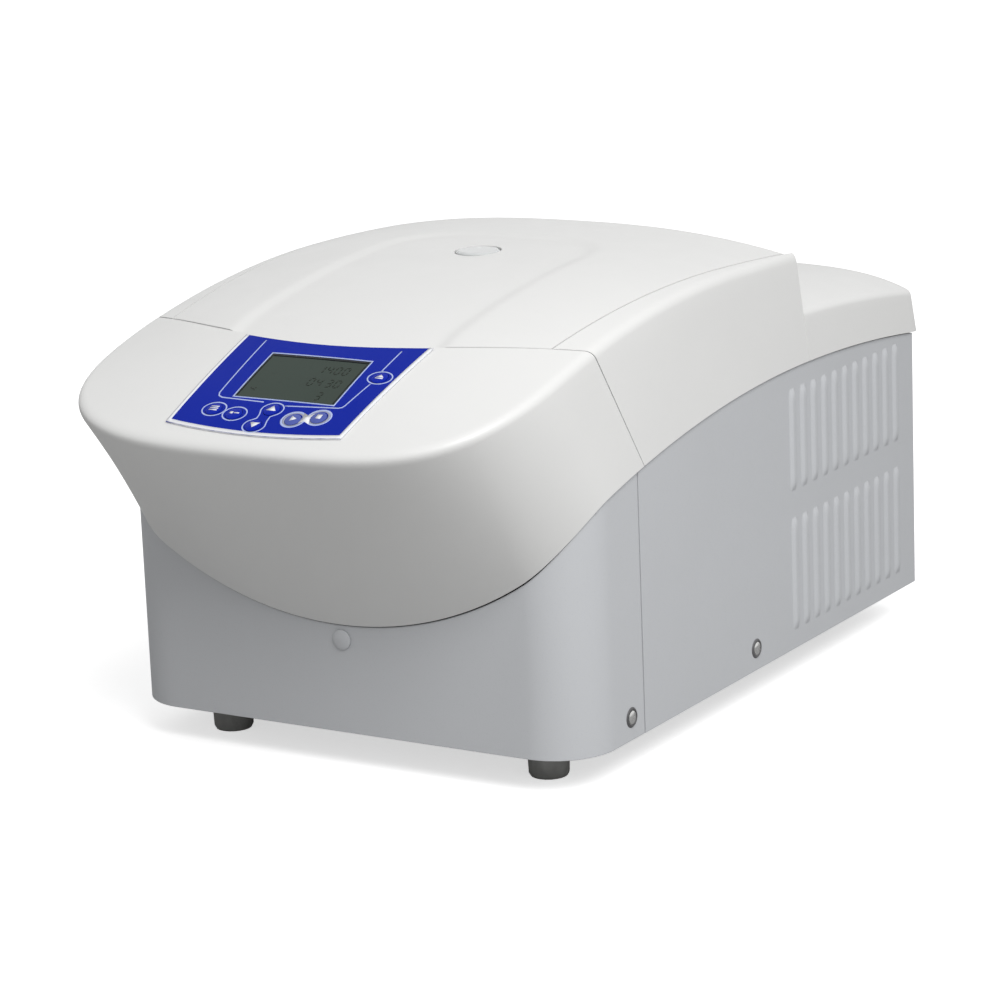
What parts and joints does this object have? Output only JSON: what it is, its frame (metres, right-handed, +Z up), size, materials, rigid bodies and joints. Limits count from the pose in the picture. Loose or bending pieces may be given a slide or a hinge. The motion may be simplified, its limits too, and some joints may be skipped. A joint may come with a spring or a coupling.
{
  "type": "refrigerated microcentrifuge",
  "caption": "Refrigerated benchtop microcentrifuge with a hinged domed lid over an angle rotor, an overhanging keypad nose, louvred sides and a low rear deck.",
  "frame": {"origin": "middle of the footprint, on the surface the feet stand on", "axes": "+X to the object's right seen from its front, +Y to the rear, +Z up"},
  "size_m": [0.355, 0.5979, 0.3113],
  "materials": {
    "white_moulding": "fine satin white moulding",
    "grey_housing": "satin grey paint",
    "blue_overlay": "printed keypad film",
    "keycap": "printed key",
    "display_glass": "smoked display window",
    "clear_window": "clear acrylic",
    "black_rubber": "matt rubber",
    "stainless_steel": "brushed",
    "zinc_sheet": "zinc-plated sheet",
    "anodised_aluminium": "anodised",
    "copper": "drawn copper tube",
    "insulation_foam": "rigid foam",
    "black_enamel": "black enamel",
    "circuit_board": "lacquered board",
    "dark_plastic": "dark moulding"
  },
  "bodies": {
    "housing": {"front_fascia": "white_moulding", "top_cover": "white_moulding", "chamber_deck": "white_moulding", "front_housing": "grey_housing", "side_panel_left": "grey_housing", "side_panel_right": "grey_housing", "rear_panel": "grey_housing", "keypad_overlay": "blue_overlay", "display_window": "display_glass", "foot_front_left": "black_rubber", "foot_front_right": "black_rubber", "foot_rear_left": "black_rubber", "foot_rear_right": "black_rubber", "motor_damper_front": "black_rubber", "motor_damper_rear_left": "black_rubber", "motor_damper_rear_right": "black_rubber", "rotor_bowl": "stainless_steel", "hinge_pin": "stainless_steel", "side_screw_left_front": "stainless_steel", "side_screw_left_rear": "stainless_steel", "side_screw_right_front": "stainless_steel", "side_screw_right_rear": "stainless_steel", "base_tray": "zinc_sheet", "bulkhead": "zinc_sheet", "hinge_bracket_left": "zinc_sheet", "hinge_bracket_right": "zinc_sheet", "condenser": "anodised_aluminium", "evaporator_coil": "copper", "discharge_pipe": "copper", "suction_pipe": "copper", "liquid_pipe": "copper", "chamber_insulation": "insulation_foam", "drive_motor": "black_enamel", "compressor": "black_enamel", "display_board": "circuit_board", "lock_body": "dark_plastic", "fan_frame": "dark_plastic", "mains_inlet": "dark_plastic", "switch_frame": "dark_plastic"},
    "lid": {"lid_shell": "white_moulding", "lid_liner": "white_moulding", "lid_gasket": "black_rubber", "sight_glass": "clear_window", "hinge_arm_left": "zinc_sheet", "hinge_arm_right": "zinc_sheet", "lid_hook": "stainless_steel"},
    "rotor_assembly": {"drive_shaft": "stainless_steel", "rotor": "anodised_aluminium", "rotor_nut": "stainless_steel"},
    "fan": {"fan_wheel": "dark_plastic"},
    "bolt": {"lock_bolt": "stainless_steel"},
    "plug": {"release_plug": "white_moulding"},
    "rocker": {"mains_rocker": "black_enamel"},
    "menu_button": {"key_menu": "keycap"},
    "set_button": {"key_set": "keycap"},
    "up_button": {"key_up": "keycap"},
    "down_button": {"key_down": "keycap"},
    "start_button": {"key_start": "keycap"},
    "stop_button": {"key_stop": "keycap"},
    "lid_button": {"key_lid": "keycap"}
  },
  "joints": [
    {"name": "lid_hinge", "type": "hinge", "parent": "housing", "child": "lid", "pos_m": [0, 0.11125, 0.289], "axis": [-1, 0, 0], "range_deg": [0, 85]},
    {"name": "rotor_spin", "type": "hinge", "parent": "housing", "child": "rotor_assembly", "pos_m": [0, -0.00675, 0.186], "axis": [0, 0, 1], "continuous": true},
    {"name": "fan_spin", "type": "hinge", "parent": "housing", "child": "fan", "pos_m": [0.13, 0.19625, 0.0869], "axis": [1, 0, 0], "continuous": true},
    {"name": "lock_bolt_slide", "type": "slide", "parent": "housing", "child": "bolt", "axis": [1, 0, 0], "range_m": [0, 0.014]},
    {"name": "release_plug_slide", "type": "slide", "parent": "housing", "child": "plug", "axis": [0, -1, 0], "range_m": [0, 0.012]},
    {"name": "mains_rocker_tilt", "type": "hinge", "parent": "housing", "child": "rocker", "pos_m": [-0.12, 0.28755, 0.112], "axis": [1, 0, 0], "range_deg": [0, 16]},
    {"name": "key_menu_press", "type": "slide", "parent": "housing", "child": "menu_button", "axis": [0.0059, 0.4247, -0.9053], "range_m": [0, 0.0006], "stiffness_N_per_m": 500},
    {"name": "key_set_press", "type": "slide", "parent": "housing", "child": "set_button", "axis": [0.0021, 0.4287, -0.9034], "range_m": [0, 0.0006], "stiffness_N_per_m": 500},
    {"name": "key_up_press", "type": "slide", "parent": "housing", "child": "up_button", "axis": [-0.0003, 0.4224, -0.9064], "range_m": [0, 0.0006], "stiffness_N_per_m": 500},
    {"name": "key_down_press", "type": "slide", "parent": "housing", "child": "down_button", "axis": [0, 0.4376, -0.8992], "range_m": [0, 0.0006], "stiffness_N_per_m": 500},
    {"name": "key_start_press", "type": "slide", "parent": "housing", "child": "start_button", "axis": [-0.0031, 0.4286, -0.9035], "range_m": [0, 0.0006], "stiffness_N_per_m": 500},
    {"name": "key_stop_press", "type": "slide", "parent": "housing", "child": "stop_button", "axis": [-0.0072, 0.423, -0.9061], "range_m": [0, 0.0006], "stiffness_N_per_m": 500},
    {"name": "key_lid_press", "type": "slide", "parent": "housing", "child": "lid_button", "axis": [-0.0259, 0.3763, -0.9261], "range_m": [0, 0.0006], "stiffness_N_per_m": 500}
  ]
}
